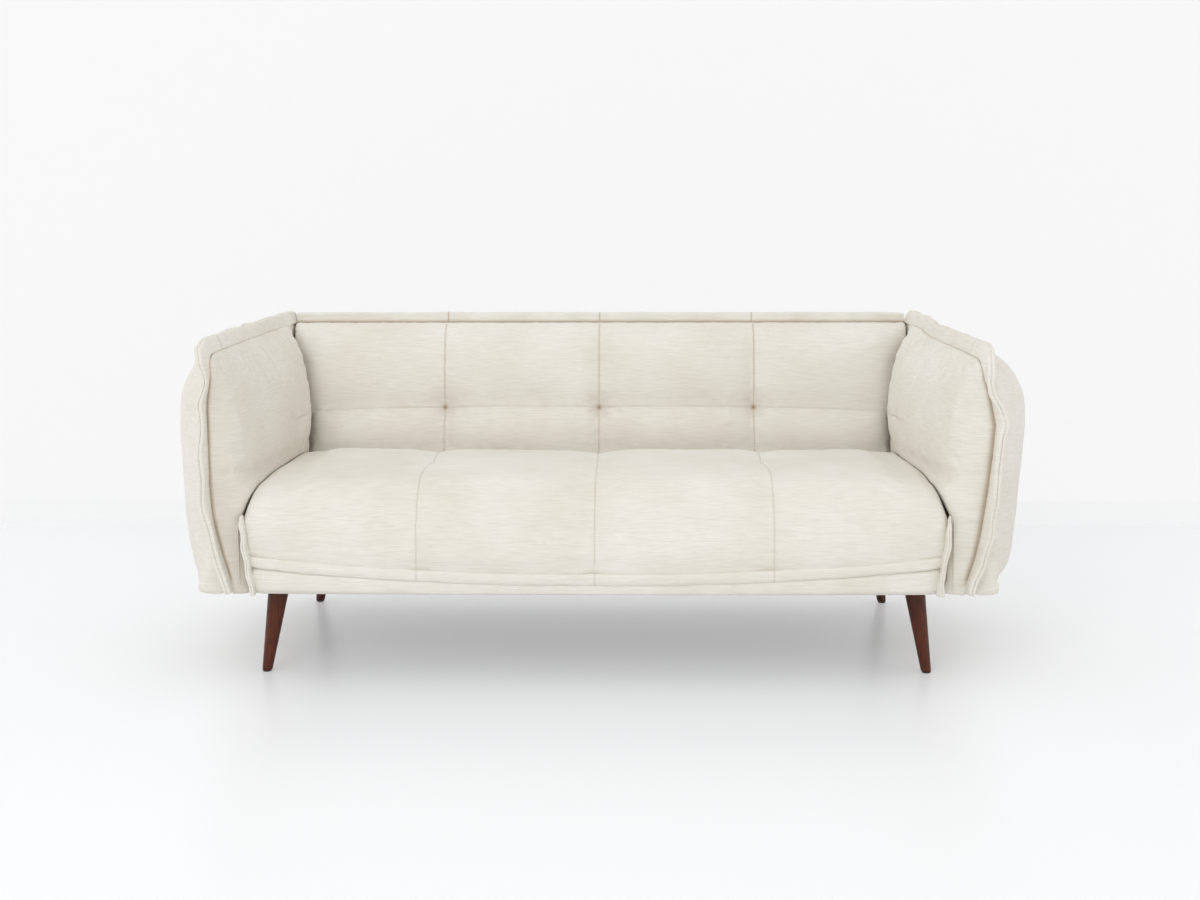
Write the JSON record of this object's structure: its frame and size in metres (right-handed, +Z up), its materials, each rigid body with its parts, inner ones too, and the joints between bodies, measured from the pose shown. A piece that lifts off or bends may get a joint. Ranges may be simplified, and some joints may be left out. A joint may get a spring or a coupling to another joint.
{
  "type": "click clack sofa bed",
  "caption": "Sofa with fixed padded arms and bench seat, and a channelled back that reclines level with the seat on ratchet hinges.",
  "frame": {"origin": "floor centre, under the middle of the sofa's whole outline", "axes": "+X to the viewer's right along the sofa, -Y to the front, +Z up"},
  "size_m": [2.0238, 0.8824, 0.8003],
  "materials": {
    "linen": "slub linen-look weave",
    "leg_wood": "dark walnut stain, satin lacquer",
    "frame_wood": "planed softwood, bare",
    "steel": "zinc plated",
    "black_cloth": "spunbond dust cover",
    "nylon": "moulded nylon"
  },
  "bodies": {
    "base": {"centre_rail": "frame_wood", "dust_cover": "black_cloth", "front_rail": "frame_wood", "left_arm_board": "frame_wood", "left_arm_bolt_1": "steel", "left_arm_bolt_2": "steel", "left_arm_flange": "linen", "left_arm_inner_pad": "linen", "left_arm_outer_pad": "linen", "left_fixed_plate": "steel", "left_front_corner_block": "frame_wood", "left_front_leg": "leg_wood", "left_front_leg_glide": "nylon", "left_pivot_rivet": "steel", "left_rear_corner_block": "frame_wood", "left_rear_leg": "leg_wood", "left_rear_leg_glide": "nylon", "left_seat_corner_flange": "linen", "left_side_rail": "frame_wood", "rear_rail": "frame_wood", "right_arm_board": "frame_wood", "right_arm_bolt_1": "steel", "right_arm_bolt_2": "steel", "right_arm_flange": "linen", "right_arm_inner_pad": "linen", "right_arm_outer_pad": "linen", "right_fixed_plate": "steel", "right_front_corner_block": "frame_wood", "right_front_leg": "leg_wood", "right_front_leg_glide": "nylon", "right_pivot_rivet": "steel", "right_rear_corner_block": "frame_wood", "right_rear_leg": "leg_wood", "right_rear_leg_glide": "nylon", "right_seat_corner_flange": "linen", "right_side_rail": "frame_wood", "seat_back_rail": "frame_wood", "seat_cushion": "linen", "seat_front_border": "linen", "seat_front_fold": "linen", "seat_slat_1": "frame_wood", "seat_slat_2": "frame_wood", "seat_slat_3": "frame_wood", "seat_slat_4": "frame_wood"},
    "back": {"back_bottom_rail": "frame_wood", "back_centre_stile": "frame_wood", "back_front_pad": "linen", "back_rear_pad": "linen", "back_top_flange": "linen", "back_top_rail": "frame_wood", "left_back_stile": "frame_wood", "left_moving_arm": "steel", "left_pawl_pin": "steel", "left_stile_bolt": "steel", "right_back_stile": "frame_wood", "right_moving_arm": "steel", "right_pawl_pin": "steel", "right_stile_bolt": "steel"},
    "left_pawl": {"left_pawl": "steel"},
    "right_pawl": {"right_pawl": "steel"}
  },
  "joints": [
    {"name": "back_recline", "type": "hinge", "parent": "base", "child": "back", "pos_m": [0, 0.246, 0.345], "axis": [-1, 0, 0], "range_deg": [-4, 76]},
    {"name": "left_pawl_swing", "type": "hinge", "parent": "back", "child": "left_pawl", "pos_m": [-0.7842, 0.26729, 0.43039], "axis": [1, 0, 0], "range_deg": [0, 13]},
    {"name": "right_pawl_swing", "type": "hinge", "parent": "back", "child": "right_pawl", "pos_m": [0.7842, 0.26729, 0.43039], "axis": [1, 0, 0], "range_deg": [0, 13]}
  ],
  "couplings": [
    {"joint": "right_pawl_swing", "follows": "left_pawl_swing", "ratio": 1}
  ]
}
